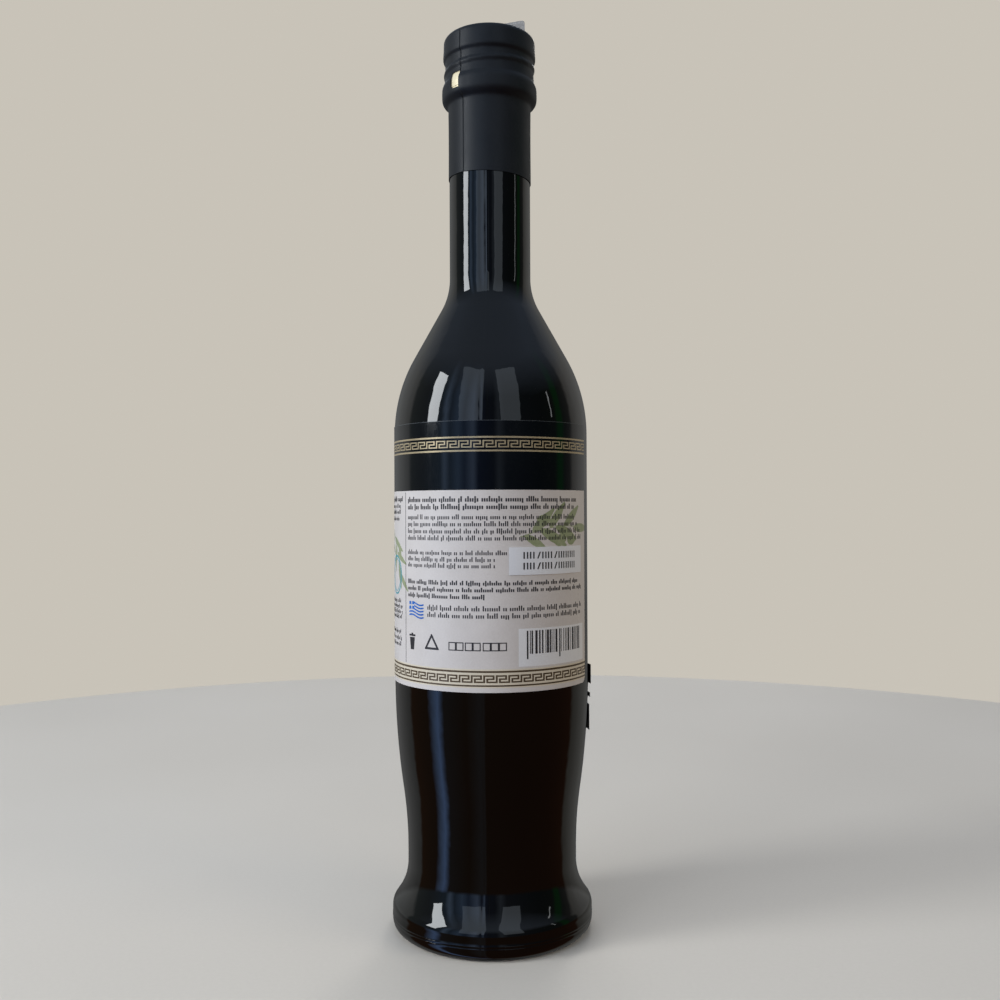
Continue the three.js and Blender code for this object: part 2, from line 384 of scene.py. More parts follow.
capsule = {
    "steps": 240, "film": 0.2,
    "sleeve": ((14.28, 254), (14.28, 257), (14.28, 259), (14.26, 262), (14.24, 266), (14.24, 270),
               (14.25, 274), (14.28, 278), (14.3, 280.4), (14.32, 281.6), (14.44, 282.2), (14.72, 282.5),
               (15.28, 282.95), (15.86, 283.45), (16.2, 283.95), (16.37, 284.5), (16.44, 285.1),
               (16.46, 285.9), (16.46, 286.7), (16.46, 287.4), (16.43, 288.0), (16.33, 288.6),
               (16.14, 289.15), (15.88, 289.7)),
    "threadFrom": (15.66, 290.2), "threadTo": (15.32, 296.9), "threadRows": 31,
    "head": ((15.34, 297.4), (15.44, 297.8), (15.68, 298.1), (15.9, 298.4), (16.02, 298.8), (16.04, 299.4),
             (15.97, 300.6), (15.88, 302.2)),
    "topRound": (13.84, 304.03, 2, 0, 90, 10), "top": ((11, 306.03), (7, 306.03), (3, 306.03), (0, 306.03)),
    "ridgeZ": 294.3, "ridgePitch": 4.5, "ridgeRise": 0.44, "ridgeReach": 1.45, "ridgeSpan": 215,
    "seamTurn": -38.2, "seamRise": 0.22, "seamReach": 3.4, "seamHalf": 0.35, "seamDepth": 0.14,
    "seamTop": 305.9, "seamCuts": 6, "seamHide": 60, "lowerEdge": 256.45, "lowerSlant": 0.053,
    "windowTurn": -46.2, "windowWidth": 3.9, "windowHeight": 5.7, "windowZ": 288.1, "windowRadius": 16.3,
    "windowDepth": 3, "windowCorner": 1.6, "windowTopCorner": 0.4,
}


def ridgeAt(place):             # true on the thread's line, one vertex to each row of the spin
    c = capsule
    row = (c["threadTo"][1] - c["threadFrom"][1]) / c["threadRows"]
    turn = turnOf(place)
    for full in (turn - 360, turn, turn + 360):
        if abs(full) < c["ridgeSpan"]:
            if abs(place.z - c["ridgeZ"] - c["ridgePitch"] * full / 360) <= row * 0.51:
                return True
    return False


def swell(rise, reach):         # pushes the picked vertices out, and those round them less and less
    bpy.ops.transform.shrink_fatten(value=rise * mm, use_proportional_edit=True,
                                    proportional_edit_falloff="SMOOTH", proportional_size=reach * mm)


def windowCutter():
    c = capsule
    clearSelection()
    bpy.ops.mesh.primitive_cube_add(size=mm)
    cutter = named(bpy.context.object, "windowCutter")
    openMesh(cutter)
    bpy.ops.transform.resize(value=(c["windowWidth"], c["windowDepth"], c["windowHeight"]))
    pick("EDGE", lambda p: p.x < -1 and p.z < -1 and abs(p.y) < near)
    bpy.ops.mesh.bevel(offset=c["windowCorner"] * mm, segments=6, affect="EDGES")
    pick("EDGE", lambda p: p.x < -1 and p.z > 2 and abs(p.y) < near)
    bpy.ops.mesh.bevel(offset=c["windowTopCorner"] * mm, segments=4, affect="EDGES")
    bpy.ops.mesh.select_all(action="SELECT")
    move(y=-c["windowRadius"], z=c["windowZ"])
    bpy.ops.transform.rotate(value=-math.radians(c["windowTurn"]), orient_axis="Z", center_override=(0, 0, 0))
    clearSelection()
    return cutter


def makeCapsule():
    c = capsule
    (r0, z0), (r1, z1), rows = c["threadFrom"], c["threadTo"], c["threadRows"]
    thread = []
    for i in range(rows + 1):
        t = i / rows
        ease = 1 - (1 - t) ** 3                       # steep under the bulge, then nearly straight
        thread.append((r0 + (r1 - r0) * ease, z0 + (z1 - z0) * t))
    outline = list(c["sleeve"]) + thread + list(c["head"]) + roundPoints(*c["topRound"]) + list(c["top"])
    piece = spinOutline("capsuleSleeve", outline, c["steps"])

    slant = Vector((c["lowerSlant"], 0, 1)).normalized()     # the lower edge was cut at a slant
    cutAcross((0, 0, c["lowerEdge"]), slant, clear_inner=True)

    pick("VERT", ridgeAt)                             # thread of the cap, felt through the film
    swell(c["ridgeRise"], c["ridgeReach"])

    seam, half = c["seamTurn"], c["seamHalf"]         # the film's end lies over its beginning
    for turn in (seam - 3 * half, seam - half, seam + half):
        a = math.radians(turn)
        pick("FACE", lambda p: abs(turnOf(p) - seam) < c["seamCuts"])
        bpy.ops.mesh.bisect(plane_co=(0, 0, 0), plane_no=(math.cos(a), math.sin(a), 0))
    pick("FACE", lambda p: -c["seamHide"] < turnOf(p) - seam < half / 2)
    bpy.ops.mesh.hide(unselected=False)
    pick("VERT", lambda p: abs(turnOf(p) - seam - half) < near and p.z < c["seamTop"])
    swell(c["seamRise"], c["seamReach"])
    bpy.ops.mesh.reveal(select=False)
    pick("VERT", lambda p: abs(turnOf(p) - seam + half) < near and p.z < c["seamTop"])
    bpy.ops.transform.shrink_fatten(value=-c["seamDepth"] * mm)

    applyModifier(piece, "SOLIDIFY", thickness=c["film"] * mm, offset=-1, use_even_offset=True)
    cutter = windowCutter()                           # window that the tear strip left open
    applyModifier(piece, "BOOLEAN", object=cutter, operation="DIFFERENCE", solver="EXACT")
    bpy.data.objects.remove(cutter)
    finishPiece(piece, looks["capsuleFilm"], "capsule_film", "capsule")


makeCapsule()


# tear tab standing on the capsule

tab = {"x": 8.1, "y": -4, "z": 306.08, "width": 8.4, "low": 4.1, "high": 5.6, "corner": 1.2, "foot": 6.8,
       "film": 0.16, "fold": 0.5, "lean": 0.25}


def makeTab():
    t = tab
    clearSelection()
    bpy.ops.mesh.primitive_plane_add(size=mm, rotation=upright)
    piece = openNew("tearTab")
    bpy.ops.transform.resize(value=(t["width"], 1, t["low"]))
    move(t["x"], t["y"], t["z"] + t["low"] / 2)
    pick("VERT", lambda p: p.x > t["x"] and p.z > t["z"] + 1)
    move(z=t["high"] - t["low"])
    roundVertices(t["corner"], 6)
    pick("EDGE", lambda p: p.z < t["z"] + near)
    pullEdge(y=t["foot"])
    bpy.ops.mesh.select_all(action="SELECT")
    bpy.ops.mesh.normals_make_consistent(inside=False)
    pick("EDGE", lambda p: p.z < t["z"] + near and abs(p.y - t["y"]) < near)
    bpy.ops.mesh.bevel(offset=t["fold"] * mm, segments=4, affect="EDGES")
    pick("VERT", lambda p: p.z > t["z"] + 1)
    move(y=t["lean"])
    applyModifier(piece, "SOLIDIFY", thickness=t["film"] * mm, offset=0)
    finishPiece(piece, looks["tabFilm"], "tab_film", "tear_tab")


makeTab()


# flat sheets and prints, drawn upright with x along the label and wrapped round the body

wrap = {"radius": 33.4, "strip": 1.2, "seatPrint": 33.34}


def arcOf(turn):                # length along the body's curve
    return math.radians(turn) * wrap["radius"]


def flatPatch(name, left, right, bottom, top, seat=wrap["seatPrint"]):
    clearSelection()
    bpy.ops.mesh.primitive_plane_add(size=mm, rotation=upright)
    piece = openNew(name)
    bpy.ops.transform.resize(value=(right - left, 1, top - bottom))
    move((left + right) / 2, wrap["radius"] - seat, (bottom + top) / 2)
    return piece


def flatDisc(name, corners, halfWide, halfTall):
    clearSelection()
    bpy.ops.mesh.primitive_circle_add(vertices=corners, radius=mm, fill_type="NGON", rotation=upright)
    piece = openNew(name)
    bpy.ops.transform.resize(value=(halfWide, 1, halfTall), center_override=(0, 0, 0))
    move(y=wrap["radius"] - wrap["seatPrint"])
    return piece


def repeatAlong(piece, count, pitch, **merging):
    applyModifier(piece, "ARRAY", count=count, use_relative_offset=False, use_constant_offset=True,
                  constant_offset_displace=(pitch * mm, 0, 0), **merging)


def wrapSheet(piece, face):     # thickness out to the radius of its face, then round the body
    openMesh(piece)
    across = [v.co.x / mm for v in piece.data.vertices]
    seat = wrap["radius"] - max(v.co.y for v in piece.data.vertices) / mm
    x = min(across) + wrap["strip"]
    while x < max(across) - 0.01:
        cutAcross((x, 0, 0), (1, 0, 0))
        x += wrap["strip"]
    applyModifier(piece, "SOLIDIFY", thickness=(face - seat) * mm, offset=1)
    across = [v.co.x / mm for v in piece.data.vertices]
    applyModifier(piece, "SIMPLE_DEFORM", deform_method="BEND", deform_axis="Z",
                  angle=(max(across) - min(across)) / wrap["radius"])
    openMesh(piece)
    move(y=-wrap["radius"])
    clearSelection()
    return piece


def faceOut(piece):             # flat prints face the viewer, so that their thickness goes outwards
    openMesh(piece)
    form = bmesh.from_edit_mesh(piece.data)
    for face in form.faces:
        face.select_set(face.normal.y > 0)
    bmesh.update_edit_mesh(piece.data)
    bpy.ops.mesh.flip_normals()
    clearSelection()
    return piece


# Greek key: one unit drawn along its line, repeated along the label and trimmed to its ends

keyBand = {"pitch": 3.97, "height": 2.46, "stroke": 1.2, "units": 8, "rows": 5, "phase": -6.35}


def keyRun(bottom, left, right, slim=0):     # slim takes that much off both sides of the line
    k = keyBand
    unit, row, wide = k["pitch"] / k["units"], k["height"] / k["rows"], k["stroke"]
    first = k["phase"] + k["pitch"] * math.floor((left - k["phase"]) / k["pitch"])
    piece = flatPatch("keyRun", first, first + wide * unit, bottom, bottom + row)
    route = (   # middle of the edge to pull, in units and rows, and its pulls
        ((wide / 2, 1), ((0, 3), (0, 1))),
        ((wide, 4.5), ((6 - wide, 0), (wide, 0))),
        ((6 + wide / 2, 4), ((0, -1), (0, -1))),
        ((6, 2.5), ((wide - 4, 0), (-wide, 0))),
        ((2 + wide / 2, 2), ((0, -1), (0, -1))),
        ((2 + wide, 0.5), ((6 - wide, 0),)),
    )
    for (x, z), pulls in route:
        pick("EDGE", lambda p: abs(p.x - first - x * unit) < near and abs(p.z - bottom - z * row) < near)
        for along, up in pulls:
            pullEdge(x=along * unit, z=up * row)
    bpy.ops.mesh.select_all(action="SELECT")
    bpy.ops.mesh.remove_doubles(threshold=0.01 * mm)
    repeatAlong(piece, math.ceil((right - first) / k["pitch"]), k["pitch"], use_merge_vertices=True,
                merge_threshold=0.01 * mm)
    openMesh(piece)
    if slim:
        pickAll("FACE")
        bpy.ops.mesh.inset(thickness=slim * mm, use_boundary=True, use_even_offset=True)
        bpy.ops.mesh.select_all(action="INVERT")
        bpy.ops.mesh.delete(type="FACE")
    cutAcross((left, 0, 0), (1, 0, 0), clear_inner=True)
    cutAcross((right, 0, 0), (1, 0, 0), clear_outer=True)
    return faceOut(piece)


# rows of small upright strokes, in groups of mixed height

strokes = {"boldWidth": 0.66, "lightWidth": 0.56, "body": 0.62, "drop": 0.22, "highShare": 0.30,
           "lowShare": 0.10, "firstGap": (3, 9), "nextGap": (3, 10)}


def strokeRow(z, left, right, tall, pitch, bold, seed):
    draw = random.Random(seed)
    wide = pitch * strokes["boldWidth" if bold else "lightWidth"]
    count = int((right - left) / pitch)
    bottom, body = z - tall / 2, tall * strokes["body"]
    piece = flatPatch("strokeRow", left, left + wide, bottom, bottom + body)
    repeatAlong(piece, count, pitch)
    gaps, at = set(), draw.randint(*strokes["firstGap"])
    while at < count:
        gaps.add(at)
        at += draw.randint(*strokes["nextGap"])
    highs = {i for i in range(count) if draw.random() < strokes["highShare"]}
    lows = {i for i in range(count) if draw.random() < strokes["lowShare"]}

    def strokeOf(p):
        return math.floor((p.x - left + 0.02) / pitch)

    middle = bottom + body / 2
    openMesh(piece)
    pick("VERT", lambda p: strokeOf(p) in highs and p.z > middle)
    move(z=tall - body)
    pick("VERT", lambda p: strokeOf(p) in lows and p.z < middle)
    move(z=-tall * strokes["drop"])
    pick("FACE", lambda p: strokeOf(p) in gaps)
    bpy.ops.mesh.delete(type="FACE")
    clearSelection()
    return piece


# leaf sprig: a stem, pointed leaves and a few round fruits

sprigShape = {"stemStart": 0.9, "stemHalf": 0.14, "leafCorners": 14, "leafTip": 0.14}


def sprigPieces(sprig):
    shape, length = sprigShape, sprig["leafLength"]
    stem = flatPatch("stem", 0, shape["stemStart"], -shape["stemHalf"], shape["stemHalf"])
    pick("EDGE", lambda p: p.x > shape["stemStart"] - near)
    for rise in sprig["stem"]:
        pullEdge(x=sprig["stemStep"], z=rise)

    leaf = flatDisc("leaf", shape["leafCorners"], length / 2, sprig["leafWidth"] / 2)
    move(x=length / 2)
    pick("VERT", lambda p: p.x > length * 0.9)
    move(x=length * shape["leafTip"])
    clearSelection()
    parts = [stem]
    for along, up, angle, size in sprig["leaves"]:
        parts.append(placeTwin(leaf, along, up, angle, (size, 1, size)))
    for along, up, size in sprig["fruits"]:
        parts.append(placeTwin(leaf, along, up, 0, (size, 1, size * sprig["fruitFat"])))
    bpy.data.objects.remove(leaf)

    piece = joinPieces("sprig", parts)
    openMesh(piece)
    bpy.ops.transform.rotate(value=math.radians(sprig["turn"]), orient_axis="Y", center_override=(0, 0, 0))
    move(sprig["x"], 0, sprig["z"])
    return faceOut(piece)


def placeTwin(leaf, along, up, angle, size):
    twin = copyPiece(leaf)
    openMesh(twin)
    bpy.ops.transform.resize(value=size, center_override=(0, 0, 0))
    bpy.ops.transform.rotate(value=math.radians(angle), orient_axis="Y", center_override=(0, 0, 0))
    move(along, 0, up)
    clearSelection()
    return twin


# back label: clear film with a printed field

backLabel = {
    "from": -105, "to": 70, "bottom": 84.9, "top": 171, "corner": 2.6, "edgeWidth": 0.16, "fieldTop": 148.9,
    "goldLines": ((165.36, 165.9), (161.06, 161.6)), "goldKey": 162.25, "goldSlim": 0.055,
    "creamStrip": (86.4, 92.3), "brownLines": ((91.2, 91.8), (86.82, 87.32)), "brownKey": 88.0,
    "seat": 33.28, "fieldSeat": 33.30, "filmFace": 33.36, "edgeFace": 33.38, "fieldFace": 33.39,
    "goldFace": 33.39, "creamFace": 33.40, "underFace": 33.405, "printFace": 33.42,
}


def roundCorner(piece, x, z, radius):
    openMesh(piece)
    pick("VERT", lambda p: abs(p.x - x) < near and abs(p.z - z) < near)
    roundVertices(radius)
    clearSelection()


def makeBackLabel():
    b = backLabel
    left, right, bottom = arcOf(b["from"]), arcOf(b["to"]), b["bottom"]
    film = flatPatch("backFilm", left, right, bottom, b["top"], b["seat"])
    edge = flatPatch("backEdge", left, right, b["top"] - b["edgeWidth"], b["top"] + 0.01)
    field = flatPatch("backField", left, right, bottom, b["fieldTop"], b["fieldSeat"])
    for sheet in (film, field):
        roundCorner(sheet, right, bottom, b["corner"])
        roundCorner(sheet, left, bottom, b["corner"])
    cream = flatPatch("backCream", left, right, *b["creamStrip"])
    gold = [flatPatch("line", left, right, *span) for span in b["goldLines"]]
    gold = joinPieces("backGold", gold + [keyRun(b["goldKey"], left, right, b["goldSlim"])])
    brown = [flatPatch("line", left, right, *span) for span in b["brownLines"]]
    brown = joinPieces("backBrown", brown + [keyRun(b["brownKey"], left, right)])

    finishPiece(wrapSheet(film, b["filmFace"]), looks["clearFilm"], "back_paper", "back_label")
    for piece, face, look in ((edge, "edgeFace", "filmEdge"), (field, "fieldFace", "beigePaper"),
                              (cream, "creamFace", "creamPrint"), (gold, "goldFace", "goldPrint"),
                              (brown, "printFace", "brownPrint")):
        finishPiece(wrapSheet(piece, b[face]), looks[look], "back_paper")


makeBackLabel()


# print on the back label's field

backPrint = {
    "rows": (   # height, left, right, stroke height, pitch, bold
        (146.06, -31.6, 34.3, 1.75, 0.76, True), (143.70, -31.6, 32.4, 1.75, 0.76, True),
        (140.40, -31.6, 33.0, 1.60, 0.66, False), (138.20, -31.6, 35.0, 1.60, 0.66, False),
        (135.90, -31.6, 36.8, 1.60, 0.66, False), (133.70, -31.6, 37.4, 1.60, 0.66, False),
        (129.00, -31.6, 5.7, 1.50, 0.64, False), (126.90, -31.6, 2.2, 1.50, 0.64, False),
        (124.90, -31.6, 2.2, 1.50, 0.64, False),
        (119.45, -31.6, 35.0, 1.45, 0.68, True), (117.30, -31.6, 37.4, 1.45, 0.68, True),
        (115.10, -31.6, -1.6, 1.45, 0.68, True),
        (111.40, -21.9, 37.4, 1.65, 0.72, False), (109.10, -21.9, 37.4, 1.65, 0.72, False),
        (146.40, -58.0, -35.0, 1.70, 0.76, True), (144.10, -58.0, -35.6, 1.45, 0.66, False),
        (142.10, -58.0, -36.4, 1.45, 0.66, False), (139.90, -58.0, -38.0, 1.45, 0.66, False),
        (112.60, -58.0, -35.6, 1.45, 0.66, False), (110.80, -58.0, -35.0, 1.45, 0.66, False),
        (109.00, -58.0, -35.0, 1.45, 0.66, False), (107.30, -58.0, -36.0, 1.45, 0.66, False),
        (102.40, -58.0, -36.6, 1.45, 0.66, False), (100.20, -58.0, -36.0, 1.45, 0.66, False),
        (98.20, -58.0, -36.4, 1.45, 0.66, False)),
    "divider": (-33.3, 0.22, 92.6, 148.4),
    "boxes": (-13.8, -11.25, -8.25, -5.7, -2.5, 0.05, 2.6), "boxWidth": 2.55, "boxSpan": (98.0, 100.7),
    "boxLine": 0.32,
    "barField": (9.0, 38.4, 92.9, 104.9), "bars": (11.7, 36.4, 96.8, 104.2), "barUnit": 0.27, "barSeed": 41,
    "longBar": 95.2, "longEnds": (1, 1.4), "longMiddle": 0.5,
    "bin": (-30.6, -27.9, 97.2, 101.2), "binTaper": 0.45, "binLid": (0.3, 0.35, 0.95),
    "binKnob": (-0.9, 0.95, 1.4),     # past the tub's sides, and from and to above its top
    "triangle": (-20.2, 99.6, 3.5, 3.5), "triangleLine": 0.7, "triangleBlunt": 0.5,
    "flag": (-30.9, -23.6, 108.2, 112.8), "flagStripes": 5, "flagHoist": 0.38, "flagWave": 0.35,
    "flagFall": 0.05, "flagParts": 12,
    "seal": (-41.5, 121.0, 5.2, 6.6), "sealLine": 0.55, "sealStep": 1.1, "sealCorners": 40,
}

rightSprig = {   # rise of each stem step; leaves and fruits by place along and up, turn and size
    "stem": (0.5, 0.4, 0.2, 0.1, -0.1, -0.2, -0.4, -0.5, -0.6), "stemStep": 2.7,
    "leafLength": 10.4, "leafWidth": 3.3,
    "leaves": ((1.5, 0.3, -38, 0.8), (4.4, 0.8, 34, 0.95), (7.4, 1.2, -34, 1.05), (11.0, 1.4, 42, 0.9),
               (13.5, 1.3, -30, 1.0), (17.5, 0.9, 30, 0.9), (22.5, -0.4, -10, 0.9)),
    "fruits": ((6.4, 3.9, 0.46), (12.2, -3.4, 0.48), (18.2, -4.0, 0.44)), "fruitFat": 2.5,
    "x": 9.6, "z": 134.0, "turn": 8,
}
leftSprig = {
    "stem": (0.4, 0.3, 0.2, 0, -0.1, -0.3, -0.4, -0.5), "stemStep": 2.2,
    "leafLength": 8.5, "leafWidth": 2.1,
    "leaves": ((1.0, 0.2, -30, 0.45), (3.5, 0.6, 28, 1.0), (6.5, 0.8, -34, 0.95), (9.5, 0.7, 30, 0.9),
               (13.0, 0.2, -18, 0.95), (16.5, -0.8, 12, 0.9)),
    "fruits": ((8.4, 3.2, 0.42), (4.0, -3.0, 0.42)), "fruitFat": 2.2,
    "x": -46.5, "z": 136.0, "turn": -56,
}


def barPieces(p):               # bars of three widths in a seeded order, longer at the ends and middle
    draw = random.Random(p["barSeed"])
    left, right, bottom, top = p["bars"]
    bars, x, unit = [], left, p["barUnit"]
    while x < right - unit:
        wide = unit * draw.choice((1, 1, 1, 2, 2, 3))
        atEnd = x - left < p["longEnds"][0] or right - x < p["longEnds"][1]
        atMiddle = abs(x - (left + right) / 2) < p["longMiddle"]
        foot = p["longBar"] if atEnd or atMiddle else bottom
        bars.append(flatPatch("bar", x, min(x + wide, right), foot, top))
        x += wide + unit * draw.choice((1, 1, 2, 2, 3))
    return bars


def boxPieces(p):
    boxes = []
    for left in p["boxes"]:
        boxes.append(flatPatch("box", left, left + p["boxWidth"], *p["boxSpan"]))
        hollowOut(p["boxLine"])
    return boxes


def binPieces(p):
    left, right, bottom, top = p["bin"]
    tub = flatPatch("bin", left, right, bottom, top)
    pick("VERT", lambda q: q.z < bottom + near and q.x < left + near)
    move(x=p["binTaper"])
    pick("VERT", lambda q: q.z < bottom + near and q.x > right - near)
    move(x=-p["binTaper"])
    pieces = [tub]
    for past, low, high in (p["binLid"], p["binKnob"]):
        pieces.append(flatPatch("binTop", left - past, right + past, top + low, top + high))
    return pieces


def ringPiece(name, x, z, halfWide, halfTall, line, corners, blunt=0):
    ring = flatDisc(name, corners, halfWide, halfTall)
    move(x, 0, z)
    if blunt:
        pickAll("VERT")
        roundVertices(blunt, 4)
    hollowOut(line)
    return faceOut(ring)


def flagPieces(p):              # waving stripes, with a cross left open at the hoist
    left, right, bottom, top = p["flag"]
    wide, parts = right - left, p["flagParts"]
    rise = (top - bottom) / (2 * p["flagStripes"] - 1)
    hoist = left + wide * p["flagHoist"]
    block = (hoist - left - rise) / 2
    stripes = []
    for i in range(p["flagStripes"]):
        z = top - rise * (2 * i + 1)
        stripes.append(flatPatch("stripe", hoist if i < 3 else left, right, z, z + rise))
    for x in (left, hoist - block):
        for z in (top - 2 * rise, top - 5 * rise):
            stripes.append(flatPatch("block", x, x + block, z, z + 2 * rise))
    flag = joinPieces("flag", stripes)
    openMesh(flag)
    for i in range(1, parts):
        cutAcross((left + wide * i / parts, 0, 0), (1, 0, 0))
    for i in range(parts + 1):
        x = left + wide * i / parts
        pick("VERT", lambda q: abs(q.x - x) < near)
        move(z=p["flagWave"] * math.sin(i / parts * math.tau) - p["flagFall"] * i)
    clearSelection()
    return flag


def makeBackPrint():
    p, face, under = backPrint, backLabel["printFace"], backLabel["underFace"]
    ink = [strokeRow(*row, seed) for seed, row in enumerate(p["rows"])]
    x, line, bottom, top = p["divider"]
    ink.append(flatPatch("divider", x, x + line, bottom, top))
    ink += barPieces(p) + boxPieces(p) + binPieces(p)
    ink.append(ringPiece("triangle", *p["triangle"], p["triangleLine"], 3, p["triangleBlunt"]))
    ink = joinPieces("backInk", ink)

    white = flatPatch("backWhite", *p["barField"])

    sprigs = joinPieces("backSprigs", [sprigPieces(rightSprig), sprigPieces(leftSprig)])
    openMesh(sprigs)                                  # the paper's edge cuts the right one off
    cutAcross((arcOf(backLabel["to"]), 0, 0), (1, 0, 0), clear_outer=True)

    flag = named(flagPieces(p), "backFlag")

    x, z, halfWide, halfTall = p["seal"]
    rings = []
    for step, line in ((0, p["sealLine"]), (p["sealStep"], p["sealLine"] / 2)):
        rings.append(ringPiece("ring", x, z, halfWide - step, halfTall - step, line, p["sealCorners"]))

    seal = joinPieces("backSeal", rings)
    for piece, level, look in ((ink, face, "inkPrint"), (white, under, "whitePrint"),
                               (sprigs, under, "sprigGreen"), (flag, face, "flagBlue"),
                               (seal, face, "sealTeal")):
        finishPiece(wrapSheet(piece, level), looks[look], "back_paper")


makeBackPrint()


# date sticker with two rows of stamped strokes

sticker = {
    "from": 10.3, "to": 62.8, "bottom": 121.9, "top": 130.7, "seat": 33.45, "face": 33.58,
    "printSeat": 33.5, "printFace": 33.6, "rows": (128.1, 124.7), "left": 10.6, "pitch": 2.2,
    "stroke": 0.5, "between": 1.15, "tall": 2.15, "pairs": (0, 1, 3, 4, 6, 7, 8, 9), "slashes": (2, 5),
    "slashStep": 0.35, "slant": 0.9,
}


def makeSticker():
    s = sticker
    sheet = flatPatch("dateSticker", arcOf(s["from"]), arcOf(s["to"]), s["bottom"], s["top"], s["seat"])
    wrapSheet(sheet, s["face"])
    finishPiece(sheet, looks["stickerPaper"], "sticker_paper", "date_sticker")

    def stroke(x, z):
        return flatPatch("stroke", x, x + s["stroke"], z - s["tall"] / 2, z + s["tall"] / 2, s["printSeat"])

    marks = []
    for z in s["rows"]:
        for place in s["pairs"]:
            x = s["left"] + s["pitch"] * place
            marks += [stroke(x, z), stroke(x + s["between"], z)]
        for place in s["slashes"]:
            marks.append(stroke(s["left"] + s["pitch"] * place + s["slashStep"], z))
            pick("VERT", lambda q: q.z > z)
            move(x=s["slant"])
    marks = wrapSheet(joinPieces("dateMarks", marks), s["printFace"])
    finishPiece(marks, looks["inkPrint"], "sticker_paper")


makeSticker()


# front label on the far side: paper coloured near-black as painted shade, with stepped side edges, a bare
# panel and the same key

frontLabel = {
    "from": 90, "to": 250, "bottom": 66.2, "top": 171, "inset": 5, "seat": 33.28, "face": 33.38,
    "steps": ((75.15, 0), (75.15, 3), (77.65, 3), (77.65, 0), (79.15, 0), (79.15, 3), (82.25, 3), (82.25, 0),
              (88.9, 0)),     # height, and how far the side edge steps in there
    "cuts": (68, 70, 72, 84, 86, 120, 150),
    "lifts": ((82.25, 88.9, 1.0), (77.65, 79.15, 0.7), (66.2, 75.15, 0.4)), "liftReach": 5,
    "goldLines": ((165.36, 165.9), (161.06, 161.6), (93.66, 94.2), (97.96, 98.5)),
    "goldKeys": (162.25, 94.85),
    "panel": (132, 208, 103.5, 154), "panelLine": 0.5, "panelGap": 1.3, "panelCorner": 4,
    "panelFace": 33.395, "printFace": 33.4, "sprigFace": 33.41,
}

frontSprig = {
    "stem": (0.5, 0.5, 0.4, 0.3, 0.1, -0.1, -0.2, -0.4, -0.5), "stemStep": 2.6,
    "leafLength": 10, "leafWidth": 2.8,
    "leaves": ((1.5, 0.3, -36, 1.0), (4.5, 1.0, 32, 1.0), (7.5, 1.6, -32, 1.05), (11.0, 2.0, 36, 0.95),
               (14.0, 2.1, -26, 1.0), (18.0, 1.7, 26, 0.95), (22.5, 0.4, -8, 1.0)),
    "fruits": ((-3.6, 2.2, 0.42), (-2.2, -2.0, 0.40)), "fruitFat": 2.3,
    "x": arcOf((frontLabel["from"] + frontLabel["to"]) / 2) - 14, "z": 128, "turn": 0,
}


def makeFrontLabel():
    f = frontLabel
    left, right = arcOf(f["from"]), arcOf(f["to"])
    deep = wrap["radius"] - f["seat"]
    sides = [(f["bottom"], 0), *f["steps"], (f["steps"][-1][0], f["inset"]), (f["top"], f["inset"])]
    outline = [(right - step, deep, z) for z, step in sides]
    outline += [(left + step, deep, z) for z, step in reversed(sides)]
    sheet = drawLine("frontSheet", outline)
    bpy.ops.mesh.select_all(action="SELECT")
    bpy.ops.mesh.edge_face_add()
    faceOut(sheet)
    openMesh(sheet)
    for z in f["cuts"]:
        cutAcross((0, 0, z), (0, 0, 1))
    wrapSheet(sheet, f["face"])
    openMesh(sheet)
    for turn in (f["from"], f["to"] - 360):           # the loose tongues at both sides stand off a little
        a = math.radians(turn)
        for low, high, lift in f["lifts"]:
            pick("VERT", lambda p: abs(turnOf(p) - turn) < 0.6 and low - 0.1 < p.z < high + 0.1)
            bpy.ops.transform.translate(value=(lift * mm * math.sin(a), -lift * mm * math.cos(a), 0),
                                        use_proportional_edit=True, use_proportional_connected=True,
                                        proportional_edit_falloff="SMOOTH",
                                        proportional_size=f["liftReach"] * mm)
    # the sheet's near-black colour is painted shade
    finishPiece(sheet, looks["frontPaperPaintedShade"], "front_paper", "front_label")

    left, right = left + f["inset"], right - f["inset"]
    gold = [flatPatch("line", left, right, *span) for span in f["goldLines"]]
    gold += [keyRun(bottom, left, right, backLabel["goldSlim"]) for bottom in f["goldKeys"]]
    left, right, (bottom, top) = arcOf(f["panel"][0]), arcOf(f["panel"][1]), f["panel"][2:]
    edge = f["panelGap"] + f["panelLine"]
    gold.append(flatPatch("rim", left - edge, right + edge, bottom - edge, top + edge))
    pickAll("VERT")
    roundVertices(f["panelCorner"] + edge)
    hollowOut(f["panelLine"])
    gold = joinPieces("frontGold", gold)

    panel = flatPatch("frontPanel", left, right, bottom, top)
    pickAll("VERT")
    roundVertices(f["panelCorner"])

    sprig = named(sprigPieces(frontSprig), "frontSprig")
    for piece, face, look in ((gold, "printFace", "goldPrint"), (panel, "panelFace", "beigePaper"),
                              (sprig, "sprigFace", "sprigGreen")):
        finishPiece(wrapSheet(piece, f[face]), looks[look], "front_paper")


makeFrontLabel()


# floor, backdrop light, lamps and camera

stage = {
    "floorRadius": 0.55, "floorCorners": 96,
    "floor": {"first": (0.58, 0.535, 0.47), "second": (0.61, 0.565, 0.50), "gloss": (0.55, 0.65),
              "fine": 700, "cloud": 6, "relief": 0.02},
    "sky": (0.58, 0.545, 0.48), "ceiling": (0.25, 0.31, 0.42), "lowFade": (-0.02, -0.10),
    "highFade": (0.45, 0.80), "lampAim": (0, 0, 0.15),
}

